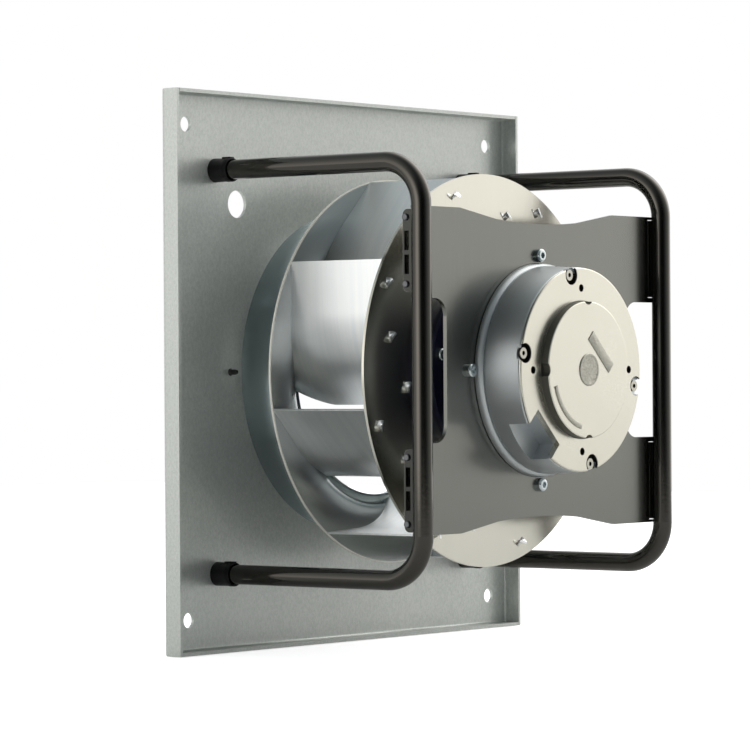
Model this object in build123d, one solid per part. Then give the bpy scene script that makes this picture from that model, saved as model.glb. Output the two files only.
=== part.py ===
from build123d import *
import math
import os

# Centrifugal fan on a square wall plate.
# The origin is on the fan axis, in the plate's mounting face. The axis runs along Y.
# The air comes in from +Y, and the motor stands out towards -Y. Z is up.
# A depth is a distance from the mounting face towards the motor, so depth d is at Y = -d.

# Driving dimensions, in millimetres
# Mounting plate: a folded sheet steel pan
plate_side = 400.0
plate_thickness = 2.5
plate_flange_depth = 16.0
plate_bend_radius = 1.5
plate_corner_gap = 0.4
mount_hole_inset = 24.0
mount_hole_diameter = 11.0
cable_hole_diameter = 20.0
cable_hole_offset = 121.0

# Inlet ring: a spun bell mouth that sits in the plate's opening
inlet_opening_radius = 117.5
ring_thickness = 1.5
ring_lip_width = 5.0
ring_throat_radius = 91.0
ring_depth = 33.0

# Pressure tap beside the inlet ring
tap_margin = 11.8
tap_nozzle_radius = 2.0
tap_nozzle_length = 7.0
tap_bore_radius = 1.0
tap_collar_radius = 3.5
tap_collar_thickness = 1.2

# Motor frame: two U tubes in sleeves
tube_outer_radius = 7.0
tube_wall = 1.5
tube_offset_x = 144.4
tube_offset_z = 144.3
tube_bend_radius = 31.0
sleeve_wall = 2.3
sleeve_length = 25.0
insert_length = 20.0
tube_screw_radius = 3.0
tube_screw_head_radius = 5.5
tube_screw_length = 18.0
tube_socket_radius = 1.8
tube_socket_depth = 1.5

# Motor plate across the two tubes
motor_plate_thickness = 3.0
motor_plate_half_height = 113.5
waist_start_x = 92.0
waist_edge_x = 50.0
waist_edge_drop = 6.8
waist_middle_drop = 9.1
notch_half_height = 50.0
notch_width = 33.2
notch_corner_radius = 12.5
arm_flange_depth = 12.0
arm_flange_margin = 4.0
arm_flange_end_margin = 2.5
arm_flange_rounding = 4.0
arm_bend_radius = 1.0
arm_bend_relief = 0.5
arm_tab_clearance = 1.0
motor_opening_radius = 62.0
flange_slot_margin = 12.3
flange_slot_length = 13.4
flange_slot_space = 3.0
flange_slot_width = 4.0
flange_slot_edge = 4.0

# Tube saddles: thick strips on the end flanges, hollowed to seat the tubes
saddle_thickness = 3.4
saddle_edge_step = 2.8
saddle_reach = 1.4
saddle_screw_radius = 1.25
saddle_head_radius = 2.4
saddle_head_height = 1.7
saddle_head_rounding = 0.8
saddle_screw_margin = 5.5
saddle_screw_inset = 5.4
saddle_nut_flats = 5.0
saddle_nut_height = 2.0

# Impeller: backward curved blades between a back plate and a front shroud
impeller_radius = 141.0
shroud_ring_overlap = 6.0
shroud_ring_gap = 4.0
shroud_collar_depth = 3.0
shroud_flare_depth = 20.0
shroud_thickness = 1.5
outlet_width = 84.0
back_plate_thickness = 2.0
back_plate_overhang = 1.0
blade_count = 8
blade_thickness = 1.5
blade_tip_inset = 0.5
blade_tip_angle = 101.0
blade_lean = 53.4
blade_straight_length = 38.0
blade_curve_radius = 88.0
blade_curve_angle = 48.0
blade_nose_radius = 85.0
blade_nose_height = 54.0
tab_length = 8.0
tab_height = 3.2
tab_twist = 62.0
tab_twist_steps = 2
tab_distances = (17.0, 55.0, 95.0)

# Rotor: a steel bell that turns round the stator
rotor_radius = 52.0
rotor_wall = 3.0
rotor_nose_length = 29.0
rotor_tail_length = 34.0
rotor_flange_width = 16.0
rotor_flange_thickness = 3.0
rotor_hub_wall = 2.5
rotor_hub_length = 10.0
rotor_edge_radius = 4.0
impeller_screw_count = 8
impeller_screw_angle = 169.0
impeller_screw_radius = 2.5
impeller_head_radius = 4.5
impeller_head_height = 3.5
impeller_nut_flats = 8.0
impeller_nut_height = 3.5
magnet_count = 10
magnet_thickness = 3.7
magnet_overhang = 3.0
magnet_gap_angle = 3.0
air_gap = 0.8

# Shaft and bearings
shaft_radius = 7.5
bearing_outer_radius = 17.5
bearing_width = 11.0
bearing_race_thickness = 3.3
bearing_shield_thickness = 0.8
bearing_shield_gap = 0.3
rear_bearing_inset = 3.5
preload_spring_thickness = 1.0
retaining_ring_thickness = 1.2
retaining_ring_height = 3.0
retaining_ring_opening = 5.0
retaining_groove_depth = 0.8
shaft_end_margin = 3.0

# Motor flange with the bearing tube
rotor_end_gap = 3.0
motor_flange_thickness = 6.5
motor_flange_margin = 5.5
motor_flange_rounding = 1.6
bearing_tube_wall = 3.5
bearing_shoulder = 2.5
motor_screw_radius = 2.5
motor_screw_length = 9.0
motor_head_radius = 4.8
motor_head_height = 4.0
motor_head_gap = 0.7

# Stator: laminated core with one coil on each tooth
tooth_count = 12
core_length = 35.0
core_end_setback = 10.0
core_yoke = 7.0
tooth_width = 5.0
pole_shoe_thickness = 4.0
pole_shoe_width = 19.0
coil_width = 11.0
coil_overhang = 4.0
coil_end_gap = 0.5

# Electronics housing and its cover
housing_base_radius = 76.5
housing_base_height = 5.5
housing_base_rounding = 2.5
housing_groove_step = 3.5
housing_groove_height = 1.4
housing_foot_step = 2.0
housing_taper = 1.9
housing_height = 37.5
housing_wall = 4.0
housing_floor = 3.0
housing_floor_opening = 25.0
cover_inset = 0.2
cover_thickness = 5.0
cover_edge_rounding = 0.8
cover_disc_radius = 48.5
cover_disc_height = 7.0
cover_disc_wall = 3.0
cover_disc_rounding = 1.0
scallop_radius = 5.5
scallop_outset = 3.0
face_hole_radius = 2.75
face_hole_depth = 4.0
face_hole_outset = 9.5
cover_screw_inset = 4.4
cover_screw_angles = (100.0, 170.0, 280.0, 350.0)
cover_screw_radius = 2.0
cover_screw_length = 14.0
cover_head_radius = 3.9
cover_head_height = 2.4
cover_socket_radius = 1.6
cover_socket_depth = 1.2
cover_cutout_radius = 7.0
cover_cutout_depth = 4.0
cover_boss_radius = 5.5
pocket_angle = 225.0
pocket_width = 35.5
pocket_inset = 15.9
pocket_depth = 17.5
pocket_wall = 3.0
housing_screw_circle = 50.0
housing_screw_radius = 2.5
housing_head_radius = 4.4
housing_head_height = 3.6
housing_screw_length = 10.0

# Circuit board inside the housing
board_opening_radius = 15.0
board_edge_gap = 4.6
board_thickness = 1.6
board_pillar_height = 6.5
board_pillar_radius = 4.0
board_pillar_inset = 6.0
board_screw_radius = 1.5
board_screw_length = 7.5
board_head_radius = 2.8
board_head_height = 1.8
capacitor_radius = 9.0
capacitor_headroom = 4.4
capacitor_circle = 42.0
capacitor_angles = (20.0, 70.0, 120.0)

# Screw heads: shares of their height and radius
head_rounding_share = 0.4
head_socket_depth_share = 0.5
head_socket_share = 0.5

# Angles in degrees, and the sides of nuts and sockets
quarter_turn = 90.0
half_turn = 180.0
hexagon_sides = 6

# Clearances
slip_clearance = 0.05
hole_clearance = 0.25

# Mounting plate: what follows from its sizes
mount_hole_offset = plate_side / 2 - mount_hole_inset
tap_offset = inlet_opening_radius + tap_margin
sleeve_radius = tube_outer_radius + sleeve_wall

# Impeller, from the inlet ring back to its back plate
shroud_collar_end = ring_depth - shroud_ring_overlap
shroud_eye_depth = shroud_collar_end + shroud_collar_depth
shroud_rim_depth = shroud_eye_depth + shroud_flare_depth
shroud_eye_radius = ring_throat_radius + ring_thickness + shroud_ring_gap
back_plate_depth = shroud_rim_depth + outlet_width
back_plate_motor_depth = back_plate_depth + back_plate_thickness

# Rotor, shaft and motor flange, from the impeller's back plate to the motor plate
rotor_front_depth = back_plate_depth - rotor_nose_length
rotor_open_depth = back_plate_motor_depth + rotor_tail_length
rotor_flange_motor_depth = back_plate_motor_depth + rotor_flange_thickness
rotor_flange_radius = rotor_radius + rotor_flange_width
rotor_inner_radius = rotor_radius - rotor_wall
impeller_screw_circle = rotor_radius + rotor_flange_width / 2
front_bearing_depth = rotor_front_depth + rotor_hub_length
motor_flange_depth = rotor_open_depth + rotor_end_gap
motor_plate_back_depth = motor_flange_depth + motor_flange_thickness
motor_plate_front_depth = motor_plate_back_depth + motor_plate_thickness
rear_bearing_end = motor_plate_front_depth - rear_bearing_inset
rear_bearing_depth = rear_bearing_end - bearing_width
bearing_tube_radius = bearing_outer_radius + bearing_tube_wall
bearing_tube_bore = bearing_outer_radius - bearing_shoulder
core_radius = rotor_inner_radius - magnet_thickness - air_gap
core_depth = rotor_open_depth - core_end_setback - core_length

# Motor plate, from the tubes
tube_centre_depth = motor_plate_front_depth + tube_outer_radius
motor_plate_half_width = tube_offset_x - saddle_thickness
arm_tab_end = tube_offset_x - arm_tab_clearance
bend_start_x = motor_plate_half_width - motor_plate_thickness - arm_bend_radius
notch_inner_x = motor_plate_half_width - notch_width
arm_flange_height = motor_plate_half_height - notch_half_height - arm_flange_margin - arm_flange_end_margin

# Electronics housing, from its base on the motor plate to its cover
motor_screw_circle = housing_base_radius + motor_head_radius + motor_head_gap
motor_flange_radius = motor_screw_circle + motor_flange_margin
housing_groove_radius = housing_base_radius - housing_groove_step
housing_foot_radius = housing_base_radius - housing_foot_step
housing_top_radius = housing_foot_radius - housing_taper
cover_radius = housing_top_radius - cover_inset
housing_floor_top = motor_plate_front_depth + housing_floor
cover_depth = motor_plate_front_depth + housing_height
cover_seat_depth = cover_depth - cover_thickness
cover_screw_circle = cover_radius - cover_screw_inset
face_hole_circle = cover_disc_radius + face_hole_outset
scallop_circle = cover_disc_radius + scallop_outset
pocket_inner_distance = cover_radius - pocket_inset
board_depth = housing_floor_top + board_pillar_height
board_radius = housing_top_radius - housing_wall - board_edge_gap
board_pillar_circle = board_radius - board_pillar_inset
capacitor_height = cover_seat_depth - capacitor_headroom - board_depth - board_thickness


def at(radius, depth):
    """Point of a turned outline: distance from the fan axis, and depth."""
    return (radius, -depth)


def filled(*lines):
    """Face inside a closed outline."""
    return make_face([edge for line in lines for edge in line.edges()])


def turned(*lines):
    """Solid turned about the fan axis from a closed outline."""
    return revolve(filled(*lines), Axis.Y)


def washer(inner_radius, outer_radius, start_depth, end_depth):
    """Plain ring or disc about the fan axis."""
    ring = rod(0, 0, outer_radius, start_depth, end_depth)
    if inner_radius > 0:
        ring -= rod(0, 0, inner_radius, start_depth, end_depth)
    return ring


def facing_motor(depth):
    """Drawing plane at a depth: X to the right, Z up, growing towards the motor."""
    return Plane.XZ.offset(depth)


def rod(x, z, radius, start_depth, end_depth):
    """Cylinder parallel to the fan axis."""
    length = end_depth - start_depth
    seat = facing_motor(start_depth) * Pos(x, z)
    return seat * Cylinder(radius, length, align=(Align.CENTER, Align.CENTER, Align.MIN))


def block(x_range, z_range, start_depth, end_depth):
    """Box given by its ranges in X and Z and by its depths."""
    width = x_range[1] - x_range[0]
    height = z_range[1] - z_range[0]
    centre = Pos((x_range[0] + x_range[1]) / 2, -(start_depth + end_depth) / 2, (z_range[0] + z_range[1]) / 2)
    return centre * Box(width, end_depth - start_depth, height)


def on_circle(radius, angle):
    """X and Z of a point on a circle about the fan axis, seen from the motor side."""
    return (radius * math.cos(math.radians(angle)), radius * math.sin(math.radians(angle)))


def turn(shape, angle):
    """Shape turned about the fan axis, counterclockwise seen from the motor side."""
    return Rot(0, -angle, 0) * shape


def hexagon_nut(x, z, flats, bore_radius, start_depth, end_depth):
    """Plain nut parallel to the fan axis."""
    outline = RegularPolygon(flats / 2, hexagon_sides, major_radius=False) - Circle(bore_radius)
    return extrude(facing_motor(start_depth) * Pos(x, z) * outline, end_depth - start_depth)


def screw_head(x, z, radius, height, seat_depth):
    """Pan head towards the motor, with a rounded edge and a hexagon socket."""
    top = seat_depth + height
    head = rod(x, z, radius, seat_depth, top)
    rim = head.edges().filter_by(GeomType.CIRCLE).sort_by(Axis.Y)[0]
    head = fillet(rim, height * head_rounding_share)
    socket = facing_motor(top) * Pos(x, z) * RegularPolygon(radius * head_socket_share, hexagon_sides)
    return head - extrude(socket, -height * head_socket_depth_share)


def corner_signs():
    """The four corners of the plate, as signs of X and Z."""
    return [(-1, 1), (1, 1), (-1, -1), (1, -1)]


def corner_name(sign_x, sign_z):
    """Name of a corner, seen from the motor side."""
    return ("upper_" if sign_z > 0 else "lower_") + ("left" if sign_x < 0 else "right")


def make_mounting_plate():
    """Square pan with four flanges towards the motor, open in the middle."""
    half = plate_side / 2
    inner_half = half - plate_thickness
    pan = block((-half, half), (-half, half), 0, plate_flange_depth)
    rear_edges = pan.faces().sort_by(Axis.Y)[-1].edges()
    pan = fillet(rear_edges, plate_bend_radius + plate_thickness)
    hollow = block((-inner_half, inner_half), (-inner_half, inner_half), plate_thickness, plate_flange_depth)
    floor_edges = hollow.faces().sort_by(Axis.Y)[-1].edges()
    pan -= fillet(floor_edges, plate_bend_radius)
    pan -= rod(0, 0, inlet_opening_radius, 0, plate_thickness)
    pan -= rod(-cable_hole_offset, cable_hole_offset, cable_hole_diameter / 2, 0, plate_thickness)
    pan -= rod(-tap_offset, 0, tap_nozzle_radius, 0, plate_thickness)
    # The side flanges run the full height, and the other two end against them.
    gap_start = plate_thickness + plate_bend_radius
    for sign_x, sign_z in corner_signs():
        mount_x = sign_x * mount_hole_offset
        mount_z = sign_z * mount_hole_offset
        pan -= rod(mount_x, mount_z, mount_hole_diameter / 2, 0, plate_thickness)
        pan -= countersink(sign_x * tube_offset_x, sign_z * tube_offset_z)
        gap_x = sorted((sign_x * inner_half, sign_x * (inner_half - plate_corner_gap)))
        gap_z = sorted((sign_z * inner_half, sign_z * half))
        pan -= block(gap_x, gap_z, gap_start, plate_flange_depth)
    return pan


def countersink(x, z):
    """Screw hole for a tube end: a cone from the mounting face, flush with the head."""
    cone_height = tube_screw_head_radius - tube_screw_radius
    hole_radius = tube_screw_radius + hole_clearance
    seat = facing_motor(0) * Pos(x, z)
    cone = Cone(tube_screw_head_radius + hole_clearance, hole_radius, cone_height,
                align=(Align.CENTER, Align.CENTER, Align.MIN))
    hole = seat * cone
    if plate_thickness > cone_height:
        hole += rod(x, z, hole_radius, cone_height, plate_thickness)
    return hole


def make_inlet_ring():
    """Bell mouth: a lip on the inlet side, a shoulder in the plate's opening, an arc down to the throat."""
    shoulder = inlet_opening_radius - slip_clearance
    throat = ring_throat_radius + ring_thickness
    outer_flare = TangentArc(at(throat, ring_depth), at(shoulder, plate_thickness), tangent=(0, 1))
    inner_shoulder = shoulder - ring_thickness
    lip_edge = shoulder + ring_lip_width
    flare_start = at(inner_shoulder, plate_thickness - ring_thickness)
    lip = Polyline(at(shoulder, plate_thickness), at(shoulder, 0), at(lip_edge, 0),
                   at(lip_edge, -ring_thickness), at(inner_shoulder, -ring_thickness), flare_start)
    inner_flare = TangentArc(at(ring_throat_radius, ring_depth), flare_start, tangent=(0, 1))
    mouth_end = Line(at(throat, ring_depth), at(ring_throat_radius, ring_depth))
    return turned(outer_flare, lip, inner_flare, mouth_end)


def make_pressure_tap():
    """Small hose nipple: shank in the plate, collar on it, bored through."""
    collar_top = plate_thickness + tap_collar_thickness
    tap = rod(-tap_offset, 0, tap_nozzle_radius - slip_clearance, 0, plate_thickness)
    tap += rod(-tap_offset, 0, tap_collar_radius, plate_thickness, collar_top)
    tap += rod(-tap_offset, 0, tap_nozzle_radius, collar_top, plate_thickness + tap_nozzle_length)
    tap -= rod(-tap_offset, 0, tap_bore_radius, 0, plate_thickness + tap_nozzle_length)
    return tap


def make_tube(sign_x):
    """U tube: two legs on the plate, joined by a straight run past the motor plate."""
    x = sign_x * tube_offset_x
    path = FilletPolyline(
        (x, -plate_thickness, tube_offset_z),
        (x, -tube_centre_depth, tube_offset_z),
        (x, -tube_centre_depth, -tube_offset_z),
        (x, -plate_thickness, -tube_offset_z),
        radius=tube_bend_radius,
    )
    start = facing_motor(plate_thickness) * Pos(x, tube_offset_z)
    section = Circle(tube_outer_radius) - Circle(tube_outer_radius - tube_wall)
    return sweep(start * section, path)


def make_tube_sleeve(sign_x, sign_z):
    """Sleeve round the end of a leg, standing on the plate."""
    x = sign_x * tube_offset_x
    z = sign_z * tube_offset_z
    end = plate_thickness + sleeve_length
    sleeve = rod(x, z, sleeve_radius, plate_thickness, end)
    outer_edge = sleeve.edges().filter_by(GeomType.CIRCLE).sort_by(Axis.Y)[0]
    sleeve = fillet(outer_edge, (sleeve_radius - tube_outer_radius) / 2)
    return sleeve - rod(x, z, tube_outer_radius + slip_clearance, plate_thickness, end)


def make_tube_inserts():
    """Threaded plugs inside the tube ends."""
    radius = tube_outer_radius - tube_wall - slip_clearance
    plugs = []
    for sign_x, sign_z in corner_signs():
        x = sign_x * tube_offset_x
        z = sign_z * tube_offset_z
        plug = rod(x, z, radius, plate_thickness, plate_thickness + insert_length)
        plug -= rod(x, z, tube_screw_radius, plate_thickness, plate_thickness + insert_length)
        plug -= countersink(x, z)
        plugs.append(plug)
    return plugs


def make_tube_screws():
    """Countersunk screws through the plate into the tube ends, flush with the mounting face."""
    screws = []
    head_height = tube_screw_head_radius - tube_screw_radius
    for sign_x, sign_z in corner_signs():
        x = sign_x * tube_offset_x
        z = sign_z * tube_offset_z
        seat = facing_motor(0) * Pos(x, z)
        head = seat * Cone(tube_screw_head_radius, tube_screw_radius, head_height,
                           align=(Align.CENTER, Align.CENTER, Align.MIN))
        shank = rod(x, z, tube_screw_radius - slip_clearance, tube_socket_depth, tube_screw_length)
        socket = rod(x, z, tube_socket_radius, 0, tube_socket_depth)
        screws.append(head + shank - socket)
    return screws


def arm_flange_range(sign_z):
    """Range in Z of an arm's end flange."""
    low = notch_half_height + arm_flange_margin
    return sorted((sign_z * low, sign_z * (low + arm_flange_height)))


def arm_flange_start():
    """Depth of the free edge of the end flanges."""
    return motor_plate_front_depth - arm_flange_depth


def flange_slots(sign_x, sign_z, thickness, x_start):
    """Two slots in a row, cut through an end flange or a saddle lying on it."""
    slot_start = arm_flange_start() + flange_slot_edge
    first = notch_half_height + arm_flange_margin + flange_slot_margin
    cuts = []
    for low in (first, first + flange_slot_length + flange_slot_space):
        x_range = sorted((sign_x * x_start, sign_x * (x_start + thickness)))
        z_range = sorted((sign_z * low, sign_z * (low + flange_slot_length)))
        cuts.append(block(x_range, z_range, slot_start, slot_start + flange_slot_width))
    return cuts


def saddle_screw_places(sign_z):
    """Z and depth of the two screws in one end flange, one at each end."""
    low, high = arm_flange_range(sign_z)
    depth = arm_flange_start() + saddle_screw_inset
    return [(low + saddle_screw_margin, depth), (high - saddle_screw_margin, depth)]


def cross_rod(sign_x, start, end, radius, z, depth):
    """Cylinder along X, between two distances from the middle of the fan."""
    low, high = sorted((sign_x * start, sign_x * end))
    return Pos((low + high) / 2, -depth, z) * Rot(0, quarter_turn, 0) * Cylinder(radius, high - low)


def motor_plate_outline():
    """Waisted plate with a notch in each side, open where its end flanges bend away."""
    half_width = arm_tab_end
    half_height = motor_plate_half_height
    waist_edge_z = half_height - waist_edge_drop
    waist_middle = (0, half_height - waist_middle_drop)
    waist = ThreePointArc((waist_edge_x, waist_edge_z), waist_middle, (-waist_edge_x, waist_edge_z))
    right_edge = Polyline((0, 0), (half_width, 0), (half_width, half_height), (waist_start_x, half_height),
                          (waist_edge_x, waist_edge_z))
    left_edge = Polyline((-waist_edge_x, waist_edge_z), (-waist_start_x, half_height),
                         (-half_width, half_height), (-half_width, 0), (0, 0))
    upper_half = filled(right_edge, waist, left_edge)
    outline = upper_half + mirror(upper_half, Plane.XZ)
    for sign_x in (-1, 1):
        notch = Rectangle(2 * notch_width, 2 * notch_half_height)
        notch = Pos(sign_x * (notch_inner_x + notch_width), 0) * notch
        corners = notch.vertices().sort_by(Axis.X)
        outline -= fillet(corners[:2] if sign_x > 0 else corners[2:], notch_corner_radius)
    for sign_x, sign_z in corner_signs():
        low, high = arm_flange_range(sign_z)
        relief = Rectangle(arm_tab_end - bend_start_x, high - low + 2 * arm_bend_relief)
        outline -= Pos(sign_x * (bend_start_x + arm_tab_end) / 2, (low + high) / 2) * relief
    return outline


def make_arm_flange():
    """End flange of the upper right arm, from the bend to its rounded free corners."""
    front = motor_plate_front_depth
    back = front - motor_plate_thickness
    outer_x = motor_plate_half_width
    inner_x = outer_x - motor_plate_thickness
    outer_bend = arm_bend_radius + motor_plate_thickness
    low, high = arm_flange_range(1)
    edge = arm_flange_start()
    outside = JernArc(at(bend_start_x, front), (1, 0), outer_bend, quarter_turn)
    inside = JernArc(at(inner_x, back - arm_bend_radius), (0, -1), arm_bend_radius, -quarter_turn)
    leg = Polyline(at(outer_x, front - outer_bend), at(outer_x, edge), at(inner_x, edge),
                   at(inner_x, back - arm_bend_radius))
    root = Line(at(bend_start_x, back), at(bend_start_x, front))
    section = filled(outside, leg, inside, root)
    flange = Pos(0, 0, low) * extrude(section, high - low)
    free_corners = flange.edges().filter_by(Axis.X).sort_by(Axis.Y)[-2:]
    flange = fillet(free_corners, arm_flange_rounding)
    for cut in flange_slots(1, 1, motor_plate_thickness, inner_x):
        flange -= cut
    for z, depth in saddle_screw_places(1):
        flange -= cross_rod(1, inner_x, outer_x, saddle_screw_radius, z, depth)
    return flange


def make_motor_plate():
    """Plate that carries the motor, with an end flange folded back on each arm."""
    plate = extrude(facing_motor(motor_plate_back_depth) * motor_plate_outline(), motor_plate_thickness)
    right_flange = make_arm_flange()
    left_flange = mirror(right_flange, Plane.YZ)
    for flange in (right_flange, left_flange):
        plate += flange
        plate += mirror(flange, Plane.XY)
    plate -= rod(0, 0, motor_opening_radius, motor_plate_back_depth, motor_plate_front_depth)
    for angle in (0, 90, 180, 270):
        x, z = on_circle(motor_screw_circle, angle)
        hole_radius = motor_screw_radius + hole_clearance
        plate -= rod(x, z, hole_radius, motor_plate_back_depth, motor_plate_front_depth)
    return plate


def make_tube_saddle(sign_x, sign_z):
    """Strip on an arm's end flange, slotted like it and hollowed where the tube rests on it."""
    inner_x = motor_plate_half_width
    outer_x = inner_x + saddle_thickness
    start = arm_flange_start() + saddle_edge_step
    low, high = arm_flange_range(sign_z)
    saddle = block(sorted((sign_x * inner_x, sign_x * outer_x)), (low, high), start,
                   motor_plate_front_depth + saddle_reach)
    free_corners = saddle.edges().filter_by(Axis.X).sort_by(Axis.Y)[-2:]
    saddle = fillet(free_corners, arm_flange_rounding)
    tube_place = Pos(sign_x * tube_offset_x, -tube_centre_depth, (low + high) / 2)
    saddle -= tube_place * Cylinder(tube_outer_radius + slip_clearance, high - low)
    for cut in flange_slots(sign_x, sign_z, saddle_thickness, inner_x):
        saddle -= cut
    for z, depth in saddle_screw_places(sign_z):
        saddle -= cross_rod(sign_x, inner_x, outer_x, saddle_screw_radius, z, depth)
    return saddle


def make_saddle_screws():
    """Pan head screws through the saddles and the end flanges."""
    screws = []
    head_start = motor_plate_half_width + saddle_thickness
    head_end = head_start + saddle_head_height
    tip = motor_plate_half_width - motor_plate_thickness - saddle_nut_height
    for sign_x, sign_z in corner_signs():
        for z, depth in saddle_screw_places(sign_z):
            shank = cross_rod(sign_x, tip, head_start, saddle_screw_radius - slip_clearance, z, depth)
            head = cross_rod(sign_x, head_start, head_end, saddle_head_radius, z, depth)
            rims = head.edges().filter_by(GeomType.CIRCLE).sort_by(Axis.X)
            head = fillet(rims[-1] if sign_x > 0 else rims[0], saddle_head_rounding)
            screws.append(shank + head)
    return screws


def make_saddle_nuts():
    """Nuts behind the end flanges."""
    nuts = []
    middle_x = motor_plate_half_width - motor_plate_thickness - saddle_nut_height / 2
    outline = RegularPolygon(saddle_nut_flats / 2, hexagon_sides, major_radius=False)
    outline -= Circle(saddle_screw_radius)
    for sign_x, sign_z in corner_signs():
        for z, depth in saddle_screw_places(sign_z):
            place = Pos(sign_x * middle_x, -depth, z) * Rot(0, quarter_turn, 0)
            nuts.append(place * extrude(outline, saddle_nut_height / 2, both=True))
    return nuts


def shroud_curve(inset):
    """Quarter ellipse from the eye to the rim, set in from the flow side by an inset."""
    centre = at(impeller_radius, shroud_eye_depth)
    width = impeller_radius - shroud_eye_radius - inset
    return EllipticalCenterArc(centre, width, shroud_flare_depth - inset, start_angle=half_turn,
                               arc_size=quarter_turn)


def make_front_shroud():
    """Spun shroud: a nearly flat rim that curves into the eye collar round the inlet ring."""
    outside = shroud_eye_radius + shroud_thickness
    rim_end = at(impeller_radius, shroud_rim_depth - shroud_thickness)
    rim = Line(at(impeller_radius, shroud_rim_depth), rim_end)
    collar = Polyline(at(shroud_eye_radius, shroud_eye_depth), at(shroud_eye_radius, shroud_collar_end),
                      at(outside, shroud_collar_end), at(outside, shroud_eye_depth))
    return turned(shroud_curve(0), rim, shroud_curve(shroud_thickness), collar)


def make_impeller_back_plate():
    """Flat disc with slots for the blade tabs and holes for the rotor screws."""
    disc = washer(rotor_radius + slip_clearance, impeller_radius + back_plate_overhang, back_plate_depth,
                  back_plate_motor_depth)
    for index in range(impeller_screw_count):
        x, z = on_circle(impeller_screw_circle, impeller_screw_angle + index * 360 / impeller_screw_count)
        disc -= rod(x, z, impeller_screw_radius + slip_clearance, back_plate_depth, back_plate_motor_depth)
    for x, z, heading in tab_places():
        slot = make_tab_slot(x, z, heading)
        for index in range(blade_count):
            disc -= turn(slot, index * 360 / blade_count)
    return disc


def blade_line(side):
    """One face of the blade as a straight stretch and a tangent arc, tip first.

    side is 0 for the middle line, 1 for the face on the hollow side and -1 for the other face."""
    heading = blade_tip_angle + half_turn - blade_lean
    shift = side * blade_thickness / 2
    tip_x, tip_z = on_circle(impeller_radius - blade_tip_inset, blade_tip_angle)
    across = math.radians(heading + quarter_turn)
    start = (tip_x + shift * math.cos(across), tip_z + shift * math.sin(across))
    tangent = (math.cos(math.radians(heading)), math.sin(math.radians(heading)))
    bend = (start[0] + tangent[0] * blade_straight_length, start[1] + tangent[1] * blade_straight_length)
    arc = JernArc(bend, tangent, blade_curve_radius - shift, blade_curve_angle)
    return start, bend, arc


def blade_section():
    """Blade seen along the fan axis."""
    outer_start, outer_bend, outer_arc = blade_line(-1)
    inner_start, inner_bend, inner_arc = blade_line(1)
    nose = Line(outer_arc @ 1, inner_arc @ 1)
    return filled(Line(outer_start, outer_bend), outer_arc, nose, inner_arc,
                  Line(inner_bend, inner_start), Line(inner_start, outer_start))


def flow_channel():
    """Space between the shroud and the back plate that the blades fill, from nose to tip."""
    nose_depth = back_plate_depth - blade_nose_height
    outer = Polyline(at(impeller_radius, shroud_rim_depth), at(impeller_radius, back_plate_depth),
                     at(blade_nose_radius, back_plate_depth), at(blade_nose_radius, nose_depth))
    eye = at(shroud_eye_radius, shroud_eye_depth)
    nose = TangentArc(at(blade_nose_radius, nose_depth), eye, tangent=(0, 1))
    return turned(shroud_curve(0), outer, nose)


def tab_places():
    """Middle and heading of each tab of the first blade, at set distances along it from its tip."""
    start, bend, arc = blade_line(0)
    straight = Line(start, bend)
    places = []
    for distance in tab_distances:
        if distance <= blade_straight_length:
            point = straight @ (distance / blade_straight_length)
            direction = straight % 1
        else:
            share = (distance - blade_straight_length) / arc.length
            point = arc @ share
            direction = arc % share
        places.append((point.X, point.Y, math.degrees(math.atan2(direction.Y, direction.X))))
    return places


def tab_outline(x, z, heading, clearance):
    """Section of a tab, grown by a clearance."""
    outline = Rectangle(tab_length + 2 * clearance, blade_thickness + 2 * clearance)
    return Pos(x, z) * Rot(0, 0, heading) * outline


def make_tab_slot(x, z, heading):
    """Slot in the back plate for one tab."""
    outline = tab_outline(x, z, heading, slip_clearance)
    return extrude(facing_motor(back_plate_depth) * outline, back_plate_thickness)


def make_blade_tab(x, z, heading):
    """Tab through the back plate, twisted behind it to lock the blade."""
    tab = extrude(facing_motor(back_plate_depth) * tab_outline(x, z, heading, 0), back_plate_thickness)
    sections = []
    for step in range(tab_twist_steps + 1):
        share = step / tab_twist_steps
        outline = tab_outline(x, z, heading - tab_twist * share, 0)
        sections.append(facing_motor(back_plate_motor_depth + tab_height * share) * outline)
    return tab + loft(sections)


def make_blade(index, channel, tabs):
    """One blade, trimmed to the flow channel, with its tabs."""
    blank = extrude(facing_motor(0) * blade_section(), back_plate_depth)
    blade = blank & channel
    for tab in tabs:
        blade += tab
    return turn(blade, index * 360 / blade_count)


def make_rotor_bell():
    """Bell closed towards the inlet, with a hub for the shaft and a flange for the impeller."""
    hub_radius = shaft_radius + rotor_hub_wall
    bell = washer(shaft_radius, rotor_radius, rotor_front_depth, rotor_open_depth)
    front_edge = bell.edges().filter_by(GeomType.CIRCLE).group_by(Axis.Y)[-1].sort_by(SortBy.RADIUS)[-1]
    bell = fillet(front_edge, rotor_edge_radius)
    bell -= washer(hub_radius, rotor_inner_radius, rotor_front_depth + rotor_wall, rotor_open_depth)
    bell -= washer(0, hub_radius, front_bearing_depth, rotor_open_depth)
    bell += washer(rotor_inner_radius, rotor_flange_radius, back_plate_motor_depth, rotor_flange_motor_depth)
    for index in range(impeller_screw_count):
        x, z = on_circle(impeller_screw_circle, impeller_screw_angle + index * 360 / impeller_screw_count)
        hole_radius = impeller_screw_radius + slip_clearance
        bell -= rod(x, z, hole_radius, back_plate_motor_depth, rotor_flange_motor_depth)
    return bell


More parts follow.
